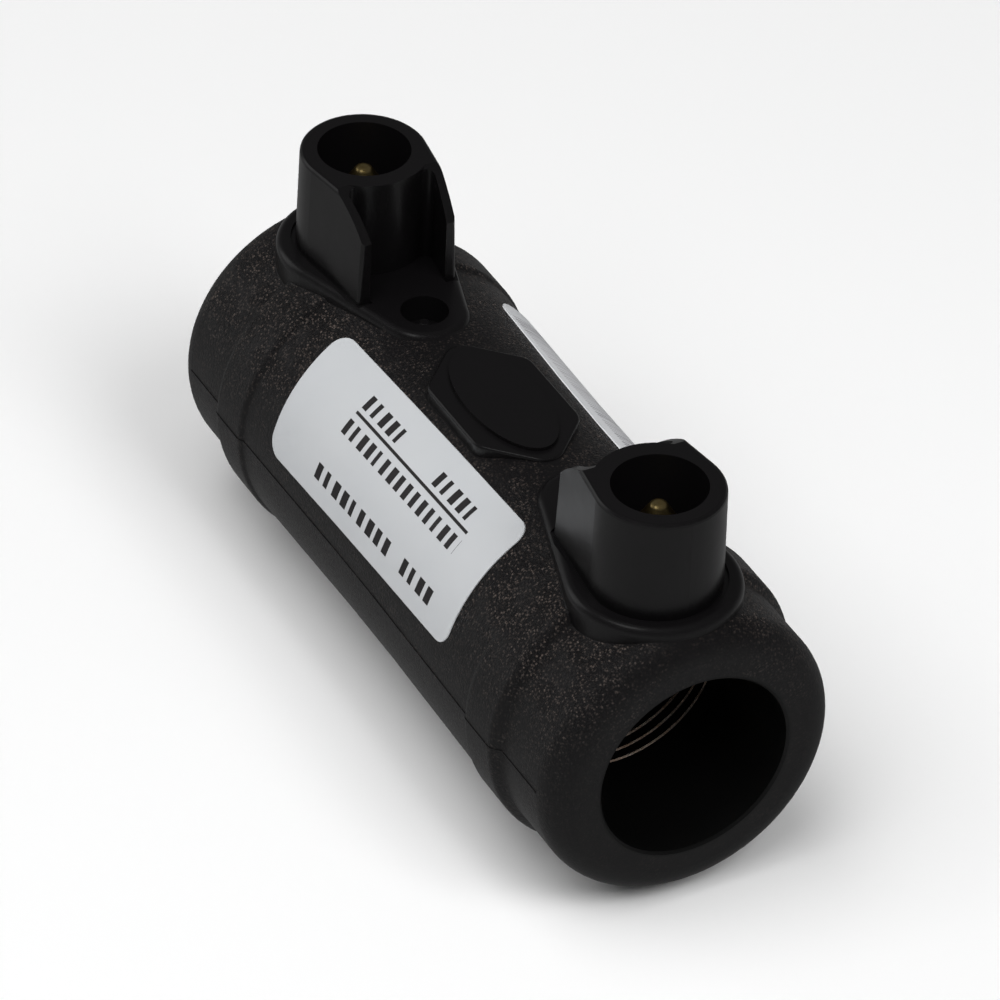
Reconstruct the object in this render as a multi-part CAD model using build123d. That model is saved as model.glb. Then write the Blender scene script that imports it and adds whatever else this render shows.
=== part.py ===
from build123d import *
import math
import os

os.makedirs("parts", exist_ok=True)

# Electrofusion coupler for plastic pressure pipe. Millimetres, +Z up.
# The bore runs along X with its middle at the origin, and the two terminals stand up along +Z.
# Shapes are drawn for the +X half ("right"); the left half is the same shape turned round.

# ---- pipe sockets
pipe_diameter = 20.0
socket_play = 0.3
mouth_edge_break = 0.25
stop_width = 2.4
stop_height = 0.9

# ---- barrel outside
coupler_length = 81.2
wall = 5.8
waist_depth = 0.3
waist_half = 4.0
hump_setback = 13.2
hump_width = 6.4
hump_rise = 0.65
hump_slope = 0.9
end_step = 0.25
rim_fillet = 3.2
hump_fillet = 0.9
crease_fillet = 0.5
parting_ridge_height = 0.07
parting_ridge_width = 0.22

# ---- flange plates under the terminals
terminal_setback = 9.9
flange_rise = 0.35
flange_radius = 8.7
flange_tip_radius = 4.6
flange_edge_round = 0.9

# ---- terminal shrouds
shroud_height = 10.9
shroud_foot_radius = 6.7
shroud_rim_radius = 6.5
shroud_rim_round = 0.45
shroud_rim_steps = 3
shroud_groove_width = 0.5
shroud_groove_depth = 0.3
cavity_radius = 4.75
cavity_depth = 9.6
cavity_narrowing = 0.2

# ---- wings that run from each shroud towards the middle
wing_reach = 10.1
wing_foot_angle = 7.0
wing_rim_angle = 8.5
wing_thickness = 0.85
wing_shoulder = 5.0
wing_drop = 4.0
wing_bulge = 0.4
pocket_wall_radius = 6.6
pocket_corner = 0.8

# ---- terminal pins
pin_diameter = 4.0
pin_below_rim = 2.1
pin_tip_radius = 0.75
pin_tip_round = 0.6
pin_nose_height = 2.0
pin_shoulder_round = 0.5
pin_root_depth = 3.4
pin_root_radius = 1.7
pin_collar_radius = 2.6
pin_collar_height = 0.8
insert_play = 0.02

# ---- fusion indicators
indicator_spacing = 13.9
well_radius = 2.45
well_depth = 2.9
indicator_diameter = 1.3
indicator_below_top = 1.35
indicator_root_depth = 1.2
indicator_edge_break = 0.2

# ---- heating wire
wire_diameter = 0.45
wire_pitch = 1.3
wire_turns = 9
wire_sink = 0.02
groove_play = 0.12
winding_setback = 14.3
wire_bend = 2.5
lead_bend = 1.0

# ---- badge pad on the crown
badge_length = 22.4
badge_width = 11.6
badge_side = 10.8
badge_corner = 2.2
badge_edge_round = 0.3
badge_plate_length = 17.6
badge_plate_width = 8.0
badge_plate_height = 0.4

# ---- stuck-on labels, with angles measured from the top of the barrel
label_length = 37.3
label_shift = 0.35
label_span = 54.0
label_corner = 1.8
label_thickness = 0.12
label_glue = 0.02
spec_label_angle = 52.0
spec_label_skew = 1.7
barcode_label_angle = 60.0
barcode_label_skew = 2.2

# ---- worked out from the sizes above
bore_radius = (pipe_diameter + socket_play) / 2
half_length = coupler_length / 2
barrel_radius = bore_radius + wall
hump_x = half_length - hump_setback
terminal_x = half_length - terminal_setback
indicator_x = terminal_x - indicator_spacing
flange_top = barrel_radius + flange_rise
rim_z = flange_top + shroud_height
cavity_floor_z = rim_z - cavity_depth
pin_root_z = cavity_floor_z - pin_root_depth
well_floor_z = flange_top - well_depth
wire_radius = wire_diameter / 2
coil_radius = bore_radius + wire_sink + wire_radius
inlay_z = bore_radius + wall / 4


def upright(sketch, z):
    """A flat sketch lifted to the height z."""
    return Plane.XY.offset(z) * sketch


def rod(radius, x, low, high):
    """A plain upright cylinder between two heights."""
    return Pos(x, 0, (low + high) / 2) * Cylinder(radius, high - low)


def turned_round(shape):
    """The same shape on the left half."""
    return Rot(0, 0, 180) * shape


def rounded_face(corners):
    """Face inside a closed line, given as (x, y, rounding) for each corner in turn."""
    points = [Vector(x, y) for x, y, _ in corners]
    edges = []
    ends = []
    for index, (_, _, rounding) in enumerate(corners):
        corner = points[index]
        back = (points[index - 1] - corner).normalized()
        ahead = (points[(index + 1) % len(points)] - corner).normalized()
        half = math.radians(back.get_angle(ahead)) / 2
        reach = rounding / math.tan(half)
        start = corner + back * reach
        end = corner + ahead * reach
        if rounding:
            deep = rounding / math.sin(half) - rounding
            middle = corner + (back + ahead).normalized() * deep
            edges.append(ThreePointArc(start, middle, end))
        ends.append((start, end))
    for index, (start, _) in enumerate(ends):
        edges.append(Line(ends[index - 1][1], start))
    return make_face(edges)


def barrel_line(grow):
    """Waisted line of the barrel between the two humps, moved out by grow."""
    edge_x = hump_x - hump_width / 2
    edge_r = barrel_radius + waist_depth + grow
    middle_r = barrel_radius + grow
    return [(-edge_x, edge_r), (-waist_half, middle_r), (waist_half, middle_r), (edge_x, edge_r)]


def barrel(grow=0):
    """Turned outer shape: a waist, a low hump on each side and rounded ends."""
    inner_x = hump_x - hump_width / 2
    outer_x = hump_x + hump_width / 2
    hump_r = barrel_radius + hump_rise + grow
    end_r = barrel_radius - end_step + grow
    end_x = half_length + grow
    right = [
        (waist_half, barrel_radius + grow, 0),
        (inner_x, barrel_radius + waist_depth + grow, crease_fillet),
        (inner_x + hump_slope / 2, hump_r, hump_fillet),
        (outer_x - hump_slope, hump_r, hump_fillet),
        (outer_x, end_r, crease_fillet),
        (end_x, end_r, rim_fillet),
        (end_x, 0, 0),
    ]
    left = [(-x, r, rounding) for x, r, rounding in reversed(right)]
    return revolve(rounded_face([*right, *left]), axis=Axis.X)


def parting_ridge():
    """Fine line left by the mould along both sides of the barrel."""
    length = coupler_length - 2 * rim_fillet
    return barrel(parting_ridge_height) & Box(length, 3 * barrel_radius, parting_ridge_width)


def sockets():
    """Both pipe sockets, with their mouth edges broken, and the smaller way through the stop."""
    stop_edge = stop_width / 2
    mouth_start = half_length - mouth_edge_break
    mouth_radius = bore_radius + mouth_edge_break
    mouth = [(half_length, 0), (half_length, mouth_radius), (mouth_start, bore_radius)]
    step = [(stop_edge, bore_radius), (stop_edge, bore_radius - stop_height)]
    right = [*mouth, *step]
    left = [(-x, r) for x, r in reversed(right)]
    face = make_face(Polyline(*right, *left, right[0]))
    return revolve(face, axis=Axis.X)


def flange_outline():
    """Teardrop plan of a flange, with its small end towards the middle."""
    big = Pos(terminal_x, 0) * Circle(flange_radius)
    small = Pos(indicator_x, 0) * Circle(flange_tip_radius)
    return make_hull(big.edges() + small.edges())


def flange():
    """Flange plate, sunk into the barrel, with a rounded upper edge."""
    plate = extrude(upright(flange_outline(), inlay_z), amount=flange_top - inlay_z)
    return fillet(plate.edges().group_by(Axis.Z)[-1], flange_edge_round)


def above_flange():
    """The crest of the hump that the flat of the flange takes away."""
    flat = offset(flange_outline(), -flange_edge_round)
    return extrude(upright(flat, flange_top), amount=hump_rise + 1)


def wing_side_y(radius, angle, run):
    """How far a wing's side stands from the middle plane, this far along from the terminal."""
    side = math.radians(angle)
    return radius / math.cos(side) - run * math.tan(side)


def shroud_outline(radius, angle):
    """Plan of the shroud's round wall of this radius with its two wings."""
    tip = wing_thickness / 2
    end_x = terminal_x - wing_reach + tip
    end_y = wing_side_y(radius - tip, angle, wing_reach - tip)
    round_wall = Pos(terminal_x, 0) * Circle(radius)
    upper = Pos(end_x, end_y) * Circle(tip)
    lower = Pos(end_x, -end_y) * Circle(tip)
    return make_hull(round_wall.edges() + upper.edges() + lower.edges())


def pocket_plan():
    """Plan of the open space between the wings, running out past their ends."""
    inner_radius = shroud_rim_radius - wing_thickness
    run = wing_reach + 1
    root_y = wing_side_y(inner_radius, wing_rim_angle, 0)
    mouth_y = wing_side_y(inner_radius, wing_rim_angle, run)
    mouth_x = terminal_x - run
    root = [(terminal_x, -root_y), (terminal_x, root_y)]
    mouth = [(mouth_x, mouth_y), (mouth_x, -mouth_y)]
    plan = Polygon(*root, *mouth, align=None) - Pos(terminal_x, 0) * Circle(pocket_wall_radius)
    return fillet(plan.vertices().group_by(Axis.X)[-1], pocket_corner)


def above_wings():
    """What is cut away over the wings, so that their tops curve down towards the middle."""
    start = (terminal_x - wing_shoulder, rim_z)
    end = (terminal_x - wing_reach, rim_z - wing_drop)
    outer_x = end[0] - 1
    top = SagittaArc(start, end, -wing_bulge)
    side = Polyline(end, (outer_x, end[1] - 1), (outer_x, rim_z + 1), (start[0], rim_z + 1), start)
    face = make_face([top.edge(), *side.edges()])
    slab = extrude(Plane.XZ * face, amount=shroud_foot_radius + 1, both=True)
    return slab - rod(pocket_wall_radius, terminal_x, flange_top, rim_z + 2)


def shroud():
    """Round socket wall of a terminal with its two wings and its rounded rim."""
    sections = [upright(shroud_outline(shroud_foot_radius, wing_foot_angle), flange_top)]
    for step in range(shroud_rim_steps + 1):
        turn = math.radians(90) * step / shroud_rim_steps
        radius = shroud_rim_radius - shroud_rim_round * (1 - math.cos(turn))
        z = rim_z - shroud_rim_round * (1 - math.sin(turn))
        sections.append(upright(shroud_outline(radius, wing_rim_angle), z))
    block = loft(sections, ruled=True)
    pocket = extrude(upright(pocket_plan(), flange_top), amount=shroud_height + 1)
    return block - pocket - above_wings()


def foot_groove():
    """Shallow groove in the flange round the outside of the shroud and its wings."""
    inner = shroud_outline(shroud_foot_radius, wing_foot_angle)
    ring = offset(inner, shroud_groove_width) - inner - pocket_plan()
    return extrude(upright(ring, flange_top - shroud_groove_depth), amount=2 * shroud_groove_depth)


def cavity():
    """Round recess that the terminal pin stands in, a little narrower at its floor."""
    above = 1
    floor_radius = cavity_radius - cavity_narrowing
    top_radius = cavity_radius + cavity_narrowing * above / cavity_depth
    height = cavity_depth + above
    return Pos(terminal_x, 0, cavity_floor_z + height / 2) * Cone(floor_radius, top_radius, height)


def badge():
    """Six-sided pad on the crown, level with the flanges, with a plain oval plate on it."""
    tip = badge_length / 2
    corner = badge_side / 2
    edge = badge_width / 2
    upper = [(tip, 0), (corner, edge), (-corner, edge)]
    lower = [(-tip, 0), (-corner, -edge), (corner, -edge)]
    plan = Polygon(*upper, *lower, align=None)
    plan = fillet(plan.vertices(), badge_corner)
    pad = extrude(upright(plan, inlay_z), amount=flange_top - inlay_z)
    pad = fillet(pad.edges().group_by(Axis.Z)[-1], badge_edge_round)
    oval = upright(Ellipse(badge_plate_length / 2, badge_plate_width / 2), inlay_z)
    return pad + extrude(oval, amount=flange_top + badge_plate_height - inlay_z)


def indicator(play=0):
    """Thin pin that the melt pushes up in its well, or the hole that it stands in."""
    radius = indicator_diameter / 2 + play
    foot = well_floor_z - indicator_root_depth - play
    if play:
        return rod(radius, indicator_x, foot, flange_top)
    pin = rod(radius, indicator_x, foot, flange_top - indicator_below_top)
    return chamfer(pin.edges().group_by(Axis.Z)[-1], indicator_edge_break)


def pin(play=0):
    """Terminal pin with a tapered nose and a buried collar, or the space that it fills."""
    radius = pin_diameter / 2 + play
    root = pin_root_radius + play
    collar = pin_collar_radius + play
    top = rim_z - pin_below_rim
    shoulder = top - pin_nose_height
    foot = pin_root_z - play
    seat = cavity_floor_z + insert_play
    collar_low = pin_root_z + pin_root_depth / 3 - play
    collar_high = collar_low + pin_collar_height + 2 * play
    lower = [(0, foot, 0), (root, foot, 0), (root, collar_low, 0), (collar, collar_low, 0)]
    upper = [(collar, collar_high, 0), (root, collar_high, 0), (root, seat, 0), (radius, seat, 0)]
    nose = [(radius, shoulder, pin_shoulder_round), (pin_tip_radius, top, pin_tip_round)]
    face = rounded_face([*lower, *upper, *nose, (0, top, 0)])
    return Pos(terminal_x, 0, 0) * revolve(Plane.XZ * face, axis=Axis.Z)


def half_turns():
    """Right half of the winding as half-turn arcs, each tilted so that the next one follows on."""
    tilt = math.atan2(wire_pitch / 4, coil_radius)
    radius = coil_radius / math.cos(tilt)
    turn_in = math.degrees(math.atan2(wire_bend, radius))
    last_count = 2 * wire_turns - 1
    runs = []
    for count in range(last_count + 1):
        side = 1 if count % 2 == 0 else -1
        middle = half_length - winding_setback - (2 * count + 1) * wire_pitch / 4
        tilted = Plane(
            origin=(middle, 0, 0),
            x_dir=(math.sin(tilt), 0, side * math.cos(tilt)),
            z_dir=(-math.cos(tilt), 0, side * math.sin(tilt)),
        )
        start = turn_in if count == 0 else 0
        end = 180 - turn_in if count == last_count else 180
        runs.append(tilted.location * CenterArc((0, 0), radius, start, end - start))
    return runs


def wire_half(radius):
    """Right half of the wire's run as a tube: lead from the pin, winding, link to the middle."""
    winding = half_turns()
    first, last = winding[0], winding[-1]
    inward = Vector(-1, 0, 0)
    lead_end = first @ 0 - (first % 0 + inward) * wire_bend
    link_start = last @ 1 + (last % 1 + inward) * wire_bend
    lead_corner = Vector(terminal_x, 0, lead_end.Z)
    lead_top = Vector(terminal_x, 0, pin_root_z - insert_play)
    lead = FilletPolyline(lead_top, lead_corner, lead_end, radius=lead_bend)
    bend_in = TangentArc(lead @ 1, first @ 0, tangent=inward)
    bend_out = TangentArc(last @ 1, link_start, tangent=last % 1)
    link = Line(link_start, Vector(0, 0, link_start.Z))
    runs = [*lead.edges(), bend_in.edge(), *[arc.edge() for arc in winding]]
    path = Wire([*runs, bend_out.edge(), link.edge()])
    section = Plane(origin=path @ 0, z_dir=path % 0) * Circle(radius)
    return sweep(section, path=path)


def label(angle, skew):
    """Rounded film that hugs the barrel, centred this many degrees from the top."""
    outside = barrel_line(label_glue + label_thickness)
    inside = barrel_line(label_glue)
    face = make_face(Polyline(*outside, *reversed(inside), outside[0]))
    film = revolve(face, axis=Axis.X)
    reach = barrel_radius * math.sin(math.radians(label_span / 2))
    plan = RectangleRounded(label_length, 2 * reach, label_corner)
    plan = Pos(-label_shift, 0) * Rot(0, 0, skew) * plan
    block = extrude(plan, amount=2 * barrel_radius)
    return film & (Rot(angle, 0, 0) * block)


def coupler_body():
    """The moulding: barrel, flanges, shrouds, badge pad, sockets, wells and wire groove."""
    body = barrel() + parting_ridge()
    for place in (lambda shape: shape, turned_round):
        body = body - place(above_flange()) + place(flange())
        body = body + place(shroud()) - place(foot_groove())
    body = body + badge() - sockets()
    for place in (lambda shape: shape, turned_round):
        body = body - place(cavity()) - place(pin(insert_play))
        body = body - place(rod(well_radius, indicator_x, well_floor_z, flange_top + 1))
        body = body - place(indicator(insert_play))
        body = body - place(wire_half(wire_radius + groove_play))
    return body


def save(name, shape):
    """Write one node."""
    export_step(shape, "parts/" + name + ".step")


right_wire = wire_half(wire_radius)
save("coupler_body", coupler_body())
save("heating_wire", right_wire + turned_round(right_wire))
save("terminal_pin_right", pin())
save("terminal_pin_left", turned_round(pin()))
save("indicator_pin_right", indicator())
save("indicator_pin_left", turned_round(indicator()))
save("spec_label", label(spec_label_angle, spec_label_skew))
save("barcode_label", label(-barcode_label_angle, -barcode_label_skew))
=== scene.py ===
import math

import bmesh
import bpy
from mathutils import Matrix, Vector


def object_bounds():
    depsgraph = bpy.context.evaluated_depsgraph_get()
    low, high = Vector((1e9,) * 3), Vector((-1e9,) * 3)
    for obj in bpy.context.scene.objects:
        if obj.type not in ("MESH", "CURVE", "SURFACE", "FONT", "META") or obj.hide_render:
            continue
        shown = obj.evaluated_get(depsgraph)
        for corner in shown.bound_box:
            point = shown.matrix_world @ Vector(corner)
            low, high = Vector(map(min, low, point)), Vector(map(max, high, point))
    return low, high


# Looks of the electrofusion coupler. Metres, +X along the bore, +Z up through the terminals.
# Patterns are worked out in mm, on each piece's own Object coordinates.
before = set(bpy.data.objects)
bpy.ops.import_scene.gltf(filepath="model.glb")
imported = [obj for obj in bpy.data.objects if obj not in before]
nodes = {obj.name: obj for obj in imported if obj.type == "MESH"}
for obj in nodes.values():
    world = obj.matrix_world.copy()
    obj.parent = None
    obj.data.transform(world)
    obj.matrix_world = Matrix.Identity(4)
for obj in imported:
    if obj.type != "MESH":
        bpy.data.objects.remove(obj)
cad_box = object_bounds()
MM = 0.001

# ---- places on the part that its finishes follow, in mm
LABEL_R = 16.09
BORE_R = 10.15
HALF_LENGTH = 40.6
END_ROUND = 3.4
TERMINAL_X = 30.7
FLANGE_R = 8.7
WELL_X = 16.8
TIP_R = 4.6
BADGE_HALF_WIDTH = 5.8
BADGE_TIP_X = 11.2

# ---- patterns, in mm
LATHE_RING_PITCH = 0.12
LINE_PITCH = 0.5
LINE_GROUP = 3.1
PRINT_SKEW = 1.6


def linear(hex_colour):
    """Linear colour of an sRGB hex value."""
    channels = [int(hex_colour[i:i + 2], 16) / 255 for i in (1, 3, 5)]
    return tuple(c / 12.92 if c <= 0.04045 else ((c + 0.055) / 1.055) ** 2.4 for c in channels) + (1.0,)


def add(tree, kind, inputs=None, **settings):
    """Adds one shader node with its settings, and gives each named input a value or a link."""
    made = tree.nodes.new("ShaderNode" + kind)
    for name, value in settings.items():
        setattr(made, name, value)
    for name, value in (inputs or {}).items():
        if isinstance(value, bpy.types.Node):
            value = value.outputs[0]
        if isinstance(value, bpy.types.NodeSocket):
            tree.links.new(value, made.inputs[name])
        else:
            made.inputs[name].default_value = value
    return made


def start_material(name):
    """A new material with its node tree, its shader and the place on the part in mm."""
    material = bpy.data.materials.new(name)
    material.use_nodes = True
    tree = material.node_tree
    shader = tree.nodes["Principled BSDF"]
    place = add(tree, "TexCoord").outputs["Object"]
    in_mm = add(tree, "VectorMath", {0: place, "Scale": 1 / MM}, operation="SCALE")
    axes = add(tree, "SeparateXYZ", {0: in_mm})
    return material, tree, shader, in_mm, axes


def set_shader(shader, **values):
    """Uniform values, set on the shader's own sockets."""
    for name, value in values.items():
        shader.inputs[name.replace("_", " ")].default_value = value


def black_polyethylene():
    """Black polyethylene, injection moulded: the barrel from a spark-eroded mould, so that it is
    finely pebbled, with painted pale glints and a painted warm sheen on the pebbles, the flanges, shrouds
    and badge from a polished one, so that they shine softly, the end faces dull, and the bore smooth,
    darkened with painted shade."""
    material, t, shader, in_mm, axes = start_material("polyethylene_spark_eroded_mould")
    x, y, z = axes.outputs
    along = add(t, "Math", {0: x}, operation="ABSOLUTE")
    across = add(t, "Math", {0: y}, operation="ABSOLUTE")
    # flange plans: the big circle, the small one and the straight sides between them
    lean = (FLANGE_R - TIP_R) / (TERMINAL_X - WELL_X)
    inward = add(t, "Math", {0: TERMINAL_X, 1: along}, operation="SUBTRACT")
    to_tip = add(t, "Math", {0: along, 1: WELL_X}, operation="SUBTRACT")
    reach_big = add(t, "CombineXYZ", {0: inward, 1: across})
    reach_big = add(t, "VectorMath", {0: reach_big}, operation="LENGTH")
    reach_tip = add(t, "CombineXYZ", {0: to_tip, 1: across})
    reach_tip = add(t, "VectorMath", {0: reach_tip}, operation="LENGTH")
    off_big = add(t, "Math", {0: reach_big.outputs["Value"], 1: FLANGE_R}, operation="SUBTRACT")
    off_tip = add(t, "Math", {0: reach_tip.outputs["Value"], 1: TIP_R}, operation="SUBTRACT")
    side = add(t, "Math", {0: across, 1: math.sqrt(1 - lean**2), 2: -FLANGE_R}, operation="MULTIPLY_ADD")
    side = add(t, "Math", {0: inward, 1: lean, 2: side}, operation="MULTIPLY_ADD")
    ends = add(t, "Math", {0: inward, 1: -1.0}, operation="MULTIPLY")
    side = add(t, "Math", {0: side, 1: ends}, operation="MAXIMUM")
    ends = add(t, "Math", {0: to_tip, 1: -1.0}, operation="MULTIPLY")
    side = add(t, "Math", {0: side, 1: ends}, operation="MAXIMUM")
    off_flange = add(t, "Math", {0: off_big, 1: off_tip}, operation="MINIMUM")
    off_flange = add(t, "Math", {0: off_flange, 1: side}, operation="MINIMUM")
    # badge plan: two straight sides and four sides at 45 degrees
    off_side = add(t, "Math", {0: across, 1: BADGE_HALF_WIDTH}, operation="SUBTRACT")
    off_end = add(t, "Math", {0: along, 1: across}, operation="ADD")
    off_end = add(t, "Math", {0: off_end, 1: BADGE_TIP_X}, operation="SUBTRACT")
    off_badge = add(t, "Math", {0: off_side, 1: off_end}, operation="MAXIMUM")
    off_raised = add(t, "Math", {0: off_flange, 1: off_badge}, operation="MINIMUM")
    in_plan = add(t, "MapRange", {0: off_raised, 1: 0.10, 2: 0.0, 3: 0.0, 4: 1.0})
    upper = add(t, "MapRange", {0: z, 1: 12.0, 2: 12.4, 3: 0.0, 4: 1.0})
    polished = add(t, "Math", {0: in_plan, 1: upper}, operation="MULTIPLY")
    # bore and end faces
    from_axis = add(t, "CombineXYZ", {0: y, 1: z})
    from_axis = add(t, "VectorMath", {0: from_axis}, operation="LENGTH").outputs["Value"]
    bore = add(t, "MapRange", {0: from_axis, 1: BORE_R + 0.5, 2: BORE_R + 0.4, 3: 0.0, 4: 1.0})
    face = add(t, "MapRange", {0: along, 1: HALF_LENGTH - END_ROUND, 2: HALF_LENGTH - 0.4, 3: 0.0, 4: 1.0})
    smooth = add(t, "Math", {0: polished, 1: bore}, operation="MAXIMUM")
    grained = add(t, "Math", {0: 1.0, 1: smooth}, operation="SUBTRACT")
    fading = add(t, "Math", {0: face, 1: -0.72, 2: 1.0}, operation="MULTIPLY_ADD")
    grained = add(t, "Math", {0: grained, 1: fading}, operation="MULTIPLY")
    # pebbles of a spark-eroded mould, about 0.26 mm across, in patches, and strongest on both sides of the
    # crown;
    # the same band places the painted glints and painted warm sheen below, faded on the crown
    over = add(t, "Math", {0: z, 1: from_axis}, operation="DIVIDE")
    crown = add(t, "MapRange", {0: over, 1: 0.86, 2: 0.98, 3: 1.0, 4: 0.35})
    over = add(t, "MapRange", {0: over, 1: 0.30, 2: 0.70, 3: 0.30, 4: 1.0})
    over = add(t, "Math", {0: over, 1: crown}, operation="MULTIPLY")
    swell = add(t, "TexNoise", {"Vector": in_mm, "Scale": 0.32, "Detail": 3.0})
    patch = add(t, "MapRange", {0: swell.outputs[0], 1: 0.38, 2: 0.62, 3: 0.4, 4: 1.0})
    pebble_depth_and_sheen = add(t, "Math", {0: grained, 1: patch}, operation="MULTIPLY")
    pebble_depth_and_sheen = add(t, "Math", {0: pebble_depth_and_sheen, 1: over}, operation="MULTIPLY")
    fine = add(t, "TexNoise", {"Vector": in_mm, "Scale": 4.5, "Detail": 3.0, "Roughness": 0.65})
    nudge = fine.outputs["Color"]
    warp = add(t, "VectorMath", {0: nudge, 1: (0.35, 0.35, 0.35), 2: in_mm}, operation="MULTIPLY_ADD")
    pebble = add(t, "TexVoronoi", {"Vector": warp, "Scale": 3.8}, feature="F1")
    off_pebble = pebble.outputs["Distance"]
    grain = add(t, "Math", {0: off_pebble, 1: -0.9, 2: fine.outputs[0]}, operation="MULTIPLY_ADD")
    bump = add(t, "Bump", {"Strength": pebble_depth_and_sheen, "Distance": 0.17 * MM, "Height": grain})
    # fine marks of the mould's turning, round the barrel
    stretched = add(t, "VectorMath", {0: in_mm, 1: (6.0, 0.5, 0.5)}, operation="MULTIPLY")
    turned = add(t, "TexNoise", {"Vector": stretched, "Scale": 1.0, "Detail": 2.0})
    marks = add(t, "Math", {0: grained, 1: 0.30}, operation="MULTIPLY")
    bump = add(t, "Bump", {"Strength": marks, "Distance": 0.06 * MM, "Height": turned, "Normal": bump})
    # polish marks and slow sink
    sink = add(t, "TexNoise", {"Vector": in_mm, "Scale": 0.22, "Detail": 2.0})
    polish = add(t, "TexNoise", {"Vector": in_mm, "Scale": 7.0, "Detail": 2.0})
    soft = add(t, "Math", {0: polish.outputs[0], 1: 0.05, 2: sink.outputs[0]}, operation="MULTIPLY_ADD")
    bump = add(t, "Bump", {"Strength": 0.35, "Distance": 0.12 * MM, "Height": soft, "Normal": bump})
    t.links.new(bump.outputs[0], shader.inputs["Normal"])
    # colour: neutral black, with a painted warm sheen (browner and lighter) on the pebbles' tops, and painted
    # shade (darker) in the bore
    painted_sheen_on_tops = add(t, "MapRange", {0: grain, 1: 0.05, 2: 0.55, 3: 0.0, 4: 1.0})
    painted_sheen_on_tops = add(t, "Math", {0: painted_sheen_on_tops, 1: pebble_depth_and_sheen}, operation="MULTIPLY")
    tint = add(t, "Mix", {0: painted_sheen_on_tops, 6: linear("#0e0d0e"), 7: linear("#1b1614")}, data_type="RGBA")
    # painted shade: a darker black mixed into the bore
    tint = add(t, "Mix", {0: bore, 6: tint.outputs[2], 7: linear("#090909")}, data_type="RGBA")
    # painted glints: pale specks on some of the pebbles, standing in for highlights
    lucky = add(t, "SeparateColor", {0: pebble.outputs["Color"]})
    painted_glint = add(t, "MapRange", {0: off_pebble, 1: 0.56, 2: 0.12, 3: 0.0, 4: 1.0})
    lucky = add(t, "MapRange", {0: lucky.outputs[0], 1: 0.35, 2: 1.0, 3: 0.0, 4: 1.0})
    painted_glint = add(t, "Math", {0: painted_glint, 1: lucky}, operation="MULTIPLY")
    painted_glint = add(t, "Math", {0: painted_glint, 1: pebble_depth_and_sheen}, operation="MULTIPLY")
    tint = add(t, "Mix", {0: painted_glint, 6: tint.outputs[2], 7: linear("#6e625b")}, data_type="RGBA")
    t.links.new(tint.outputs[2], shader.inputs["Base Color"])
    # roughness: varied on the pebbles, low where polished, high on the end faces
    rough = add(t, "MapRange", {0: fine.outputs[0], 1: 0.3, 2: 0.7, 3: 0.34, 4: 0.50})
    rough = add(t, "Mix", {0: polished, 2: rough, 3: 0.29}, data_type="FLOAT")
    rough = add(t, "Mix", {0: face, 2: rough, 3: 0.52}, data_type="FLOAT")
    t.links.new(rough.outputs[0], shader.inputs["Roughness"])
    set_shader(shader, IOR=1.5)
    return material


def bare_copper():
    """Bare copper wire, drawn: pale and satin, as a thin smear of plastic from the moulding dulls its
    metal, with its colour a little browned in places by the mould's heat."""
    material, t, shader, in_mm, axes = start_material("copper_drawn_wire")
    stain = add(t, "TexNoise", {"Vector": in_mm, "Scale": 0.8, "Detail": 3.0})
    tint = add(t, "MapRange", {0: stain.outputs[0], 1: 0.35, 2: 0.7, 3: 0.0, 4: 1.0})
    tint = add(t, "Mix", {0: tint, 6: linear("#fbe9dc"), 7: linear("#e6c3ab")}, data_type="RGBA")
    t.links.new(tint.outputs[2], shader.inputs["Base Color"])
    drawn = add(t, "TexNoise", {"Vector": in_mm, "Scale": 9.0, "Detail": 2.0})
    rough = add(t, "MapRange", {0: drawn.outputs[0], 1: 0.3, 2: 0.7, 3: 0.20, 4: 0.32})
    t.links.new(rough.outputs[0], shader.inputs["Roughness"])
    set_shader(shader, Metallic=0.5)
    return material


def turned_brass():
    """Brass pin, turned on a lathe: pale yellow and satin, with fine rings round it."""
    material, t, shader, in_mm, axes = start_material("brass_turned")
    rings = add(t, "Math", {0: axes.outputs["Z"], 1: 2 * math.pi / LATHE_RING_PITCH}, operation="MULTIPLY")
    rings = add(t, "Math", {0: rings}, operation="SINE")
    bump = add(t, "Bump", {"Strength": 0.25, "Distance": 0.01 * MM, "Height": rings})
    t.links.new(bump.outputs[0], shader.inputs["Normal"])
    stain = add(t, "TexNoise", {"Vector": in_mm, "Scale": 1.6, "Detail": 2.0})
    tint = add(t, "Mix", {0: stain.outputs[0], 6: linear("#ecd9a0"), 7: linear("#c9a860")}, data_type="RGBA")
    t.links.new(tint.outputs[2], shader.inputs["Base Color"])
    rough = add(t, "MapRange", {0: stain.outputs[0], 1: 0.3, 2: 0.7, 3: 0.30, 4: 0.40})
    t.links.new(rough.outputs[0], shader.inputs["Roughness"])
    set_shader(shader, Metallic=1.0)
    return material


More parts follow.
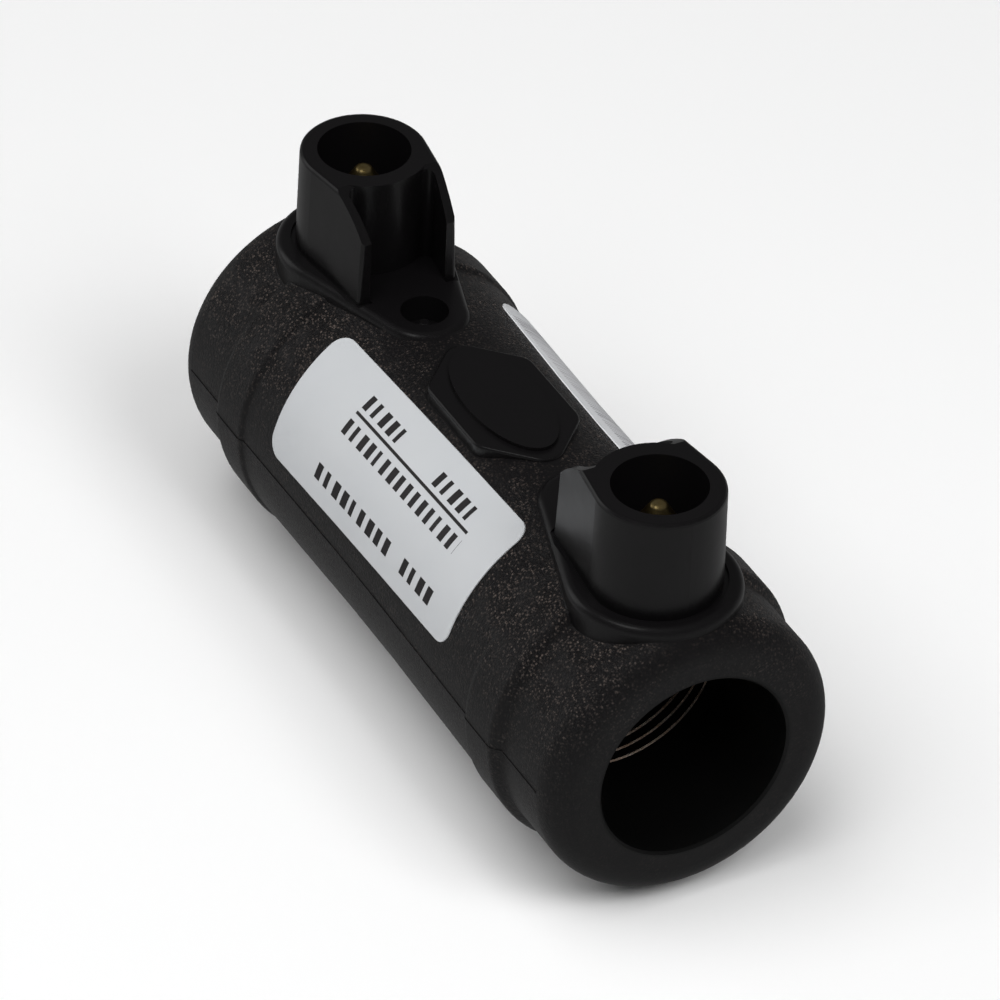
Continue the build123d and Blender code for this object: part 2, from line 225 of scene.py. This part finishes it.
def printed_film():
    """Polypropylene label film with a satin coat, printed in black: rows of plain marks where the
    words would be, and one thin rule."""
    material, t, shader, in_mm, axes = start_material("polypropylene_film_printed_marks")
    x, y, z = axes.outputs
    down = add(t, "Math", {0: y, 1: -1.0}, operation="MULTIPLY")
    turn = add(t, "Math", {0: down, 1: z}, operation="ARCTAN2")
    around = add(t, "Math", {0: turn, 1: LABEL_R}, operation="MULTIPLY")
    skew = math.tan(math.radians(PRINT_SKEW))
    row = add(t, "Math", {0: x, 1: skew, 2: around}, operation="MULTIPLY_ADD")
    ink = None
    # each row of marks: from x, to x, middle of the row, its height, pitch of the marks, their share
    rows = [
        (-9.8, -2.1, 10.3, 1.7, 1.54, 0.56),
        (4.4, 12.3, 10.3, 1.7, 1.58, 0.56),
        (-9.9, 12.75, 11.8, 0.34, 0.0, 1.0),
        (-9.9, 12.95, 13.5, 1.7, 1.52, 0.56),
        (-10.3, 5.5, 19.15, 1.7, 1.76, 0.60),
        (7.6, 14.3, 19.15, 1.7, 1.70, 0.60),
    ]
    for start, end, middle, height, pitch, share in rows:
        off_x = add(t, "Math", {0: x, 1: (start + end) / 2}, operation="SUBTRACT")
        off_x = add(t, "Math", {0: off_x}, operation="ABSOLUTE")
        inside_x = add(t, "Math", {0: off_x, 1: (end - start) / 2}, operation="LESS_THAN")
        off_row = add(t, "Math", {0: row, 1: middle}, operation="SUBTRACT")
        off_row = add(t, "Math", {0: off_row}, operation="ABSOLUTE")
        inside_row = add(t, "Math", {0: off_row, 1: height / 2}, operation="LESS_THAN")
        mark = add(t, "Math", {0: inside_x, 1: inside_row}, operation="MULTIPLY")
        if pitch:
            run = add(t, "Math", {0: x, 1: start}, operation="SUBTRACT")
            run = add(t, "Math", {0: run, 1: pitch}, operation="DIVIDE")
            step = add(t, "Math", {0: run}, operation="FLOOR")
            pick = add(t, "TexWhiteNoise", {"W": step}, noise_dimensions="1D")
            wide = add(t, "Math", {0: pick.outputs[0], 1: 0.28, 2: share - 0.2}, operation="MULTIPLY_ADD")
            part = add(t, "Math", {0: run}, operation="FRACT")
            solid = add(t, "Math", {0: part, 1: wide}, operation="LESS_THAN")
            mark = add(t, "Math", {0: mark, 1: solid}, operation="MULTIPLY")
        ink = mark if ink is None else add(t, "Math", {0: ink, 1: mark}, operation="MAXIMUM")
    cloud = add(t, "TexNoise", {"Vector": in_mm, "Scale": 0.12, "Detail": 2.0})
    film = add(t, "Mix", {0: cloud.outputs[0], 6: linear("#c0c3c6"), 7: linear("#c7c9cb")}, data_type="RGBA")
    speck = add(t, "TexNoise", {"Vector": in_mm, "Scale": 9.0, "Detail": 1.0})
    black = add(t, "Mix", {0: speck.outputs[0], 6: linear("#141213"), 7: linear("#2a2728")}, data_type="RGBA")
    tint = add(t, "Mix", {0: ink, 6: film.outputs[2], 7: black.outputs[2]}, data_type="RGBA")
    t.links.new(tint.outputs[2], shader.inputs["Base Color"])
    rough = add(t, "Mix", {0: ink, 2: 0.36, 3: 0.48}, data_type="FLOAT")
    t.links.new(rough.outputs[0], shader.inputs["Roughness"])
    ripple = add(t, "TexNoise", {"Vector": in_mm, "Scale": 0.35, "Detail": 2.0})
    bump = add(t, "Bump", {"Strength": 0.3, "Distance": 0.05 * MM, "Height": ripple})
    t.links.new(bump.outputs[0], shader.inputs["Normal"])
    set_shader(shader, IOR=1.49)
    return material


def lined_film():
    """Polypropylene label film with a satin coat, printed with a field of fine grey lines that run
    round the barrel, in lighter and darker groups."""
    material, t, shader, in_mm, axes = start_material("polypropylene_film_printed_lines")
    x, y, z = axes.outputs
    turn = add(t, "Math", {0: y, 1: z}, operation="ARCTAN2")
    around = add(t, "Math", {0: turn, 1: LABEL_R}, operation="MULTIPLY")
    run = add(t, "Math", {0: x, 1: LINE_PITCH}, operation="DIVIDE")
    step = add(t, "Math", {0: run}, operation="FLOOR")
    pick = add(t, "TexWhiteNoise", {"W": step}, noise_dimensions="1D")
    wide = add(t, "Math", {0: pick.outputs[0], 1: 0.4, 2: 0.25}, operation="MULTIPLY_ADD")
    part = add(t, "Math", {0: run}, operation="FRACT")
    line = add(t, "Math", {0: part, 1: wide}, operation="LESS_THAN")
    low = add(t, "Math", {0: around, 1: 10.6}, operation="GREATER_THAN")
    high = add(t, "Math", {0: around, 1: 21.0}, operation="LESS_THAN")
    left = add(t, "Math", {0: x, 1: -16.6}, operation="GREATER_THAN")
    right = add(t, "Math", {0: x, 1: 15.0}, operation="LESS_THAN")
    field = add(t, "Math", {0: low, 1: high}, operation="MULTIPLY")
    field = add(t, "Math", {0: field, 1: left}, operation="MULTIPLY")
    field = add(t, "Math", {0: field, 1: right}, operation="MULTIPLY")
    ink = add(t, "Math", {0: field, 1: line}, operation="MULTIPLY")
    cloud = add(t, "TexNoise", {"Vector": in_mm, "Scale": 0.12, "Detail": 2.0})
    film = add(t, "Mix", {0: cloud.outputs[0], 6: linear("#d6d8db"), 7: linear("#dedfe1")}, data_type="RGBA")
    group = add(t, "Math", {0: x, 1: 1 / LINE_GROUP, 2: 0.4}, operation="MULTIPLY_ADD")
    group = add(t, "Math", {0: group}, operation="FLOOR")
    group = add(t, "TexWhiteNoise", {"W": group}, noise_dimensions="1D")
    grey = add(t, "Mix", {0: group.outputs[0], 6: linear("#b9b8bb"), 7: linear("#828186")}, data_type="RGBA")
    tint = add(t, "Mix", {0: ink, 6: film.outputs[2], 7: grey.outputs[2]}, data_type="RGBA")
    t.links.new(tint.outputs[2], shader.inputs["Base Color"])
    rough = add(t, "Mix", {0: ink, 2: 0.36, 3: 0.48}, data_type="FLOAT")
    t.links.new(rough.outputs[0], shader.inputs["Roughness"])
    set_shader(shader, IOR=1.49)
    return material


# ---- finishes on the part
finishes = {
    "coupler_body": (black_polyethylene(), "black_polyethylene"),
    "heating_wire": (bare_copper(), "copper_wire"),
    "terminal_pin_right": (turned_brass(), "brass_terminal"),
    "spec_label": (printed_film(), "label_film"),
    "barcode_label": (lined_film(), "label_film"),
}
finishes["terminal_pin_left"] = finishes["terminal_pin_right"]
finishes["indicator_pin_right"] = finishes["coupler_body"]
finishes["indicator_pin_left"] = finishes["coupler_body"]
for name, (finish, slot_name) in finishes.items():
    piece = nodes[name]
    piece.data.materials.clear()
    piece.data.materials.append(finish)

# ---- floor: a pale matt sheet that the barrel lies on
floor_z = cad_box[0].z
shape = bmesh.new()
bmesh.ops.create_grid(shape, x_segments=1, y_segments=1, size=3.0)
bmesh.ops.translate(shape, verts=shape.verts, vec=(0, 0, floor_z))
floor_mesh = bpy.data.meshes.new("floor")
shape.to_mesh(floor_mesh)
shape.free()
floor = bpy.data.objects.new("floor", floor_mesh)
bpy.context.scene.collection.objects.link(floor)
paper = bpy.data.materials.new("paper_sheet")
paper.use_nodes = True
set_shader(paper.node_tree.nodes["Principled BSDF"], Base_Color=linear("#fbfbfb"), Roughness=0.9)
floor_mesh.materials.append(paper)
# the glossy black mirrors the dim world in place of the white sheet
floor.visible_glossy = False

# ---- camera
AZIMUTH, ELEVATION, ROLL = (math.radians(a) for a in (60.391, 37.381, 2.74))
back = Vector((
    math.sin(AZIMUTH) * math.cos(ELEVATION),
    -math.cos(AZIMUTH) * math.cos(ELEVATION),
    math.sin(ELEVATION),
))
level = Vector((math.cos(AZIMUTH), math.sin(AZIMUTH), 0))
upright = back.cross(level)
right = level * math.cos(ROLL) + upright * math.sin(ROLL)
up = upright * math.cos(ROLL) - level * math.sin(ROLL)
lens = bpy.data.cameras.new("camera")
lens.sensor_width = 36
lens.lens = 258.7
lens.shift_x = -0.0027
lens.shift_y = 0.0067
lens.clip_start = 0.05
lens.clip_end = 20
camera = bpy.data.objects.new("camera", lens)
camera.matrix_world = Matrix.Translation(
    right * 0.000546 + up * 0.002575 + back * 0.71662
) @ Matrix((right, up, back)).transposed().to_4x4()
bpy.context.scene.collection.objects.link(camera)
bpy.context.scene.camera = camera

# ---- light: a dim world, darker overhead than low down, with one broad fill and small lamps
bpy.context.scene.view_settings.view_transform = "Standard"
world = bpy.data.worlds.new("studio")
world.use_nodes = True
sky = world.node_tree
height = add(sky, "SeparateXYZ", {0: add(sky, "TexCoord").outputs["Generated"]}).outputs["Z"]
glow = add(sky, "MapRange", {0: height, 1: -0.15, 2: 0.30, 3: 0.23, 4: 0.065})
sky.links.new(glow.outputs[0], sky.nodes["Background"].inputs["Strength"])
sky.nodes["Background"].inputs["Color"].default_value = linear("#ffffff")
bpy.context.scene.world = world


def soft_light(name, place, size, power, mirrored=True):
    """A softbox that faces the middle of the part; one that isn't mirrored only fills."""
    lamp = bpy.data.lights.new(name, "AREA")
    lamp.shape = "RECTANGLE"
    lamp.size, lamp.size_y = size
    lamp.energy = power
    box = bpy.data.objects.new(name, lamp)
    box.location = place
    box.rotation_mode = "QUATERNION"
    box.rotation_quaternion = (-Vector(place)).to_track_quat("-Z", "Y")
    box.visible_glossy = mirrored
    bpy.context.scene.collection.objects.link(box)


soft_light("fill", (0.06, -0.52, 1.18), (1.3, 1.3), 14, mirrored=False)
soft_light("overhead", (0.05, -0.45, 1.2), (0.38, 0.38), 0.7)
soft_light("left", (-0.85, -0.7, 0.45), (0.6, 0.8), 0.9)
soft_light("front", (0.66, 0.16, 0.80), (0.5, 0.5), 5, mirrored=False)
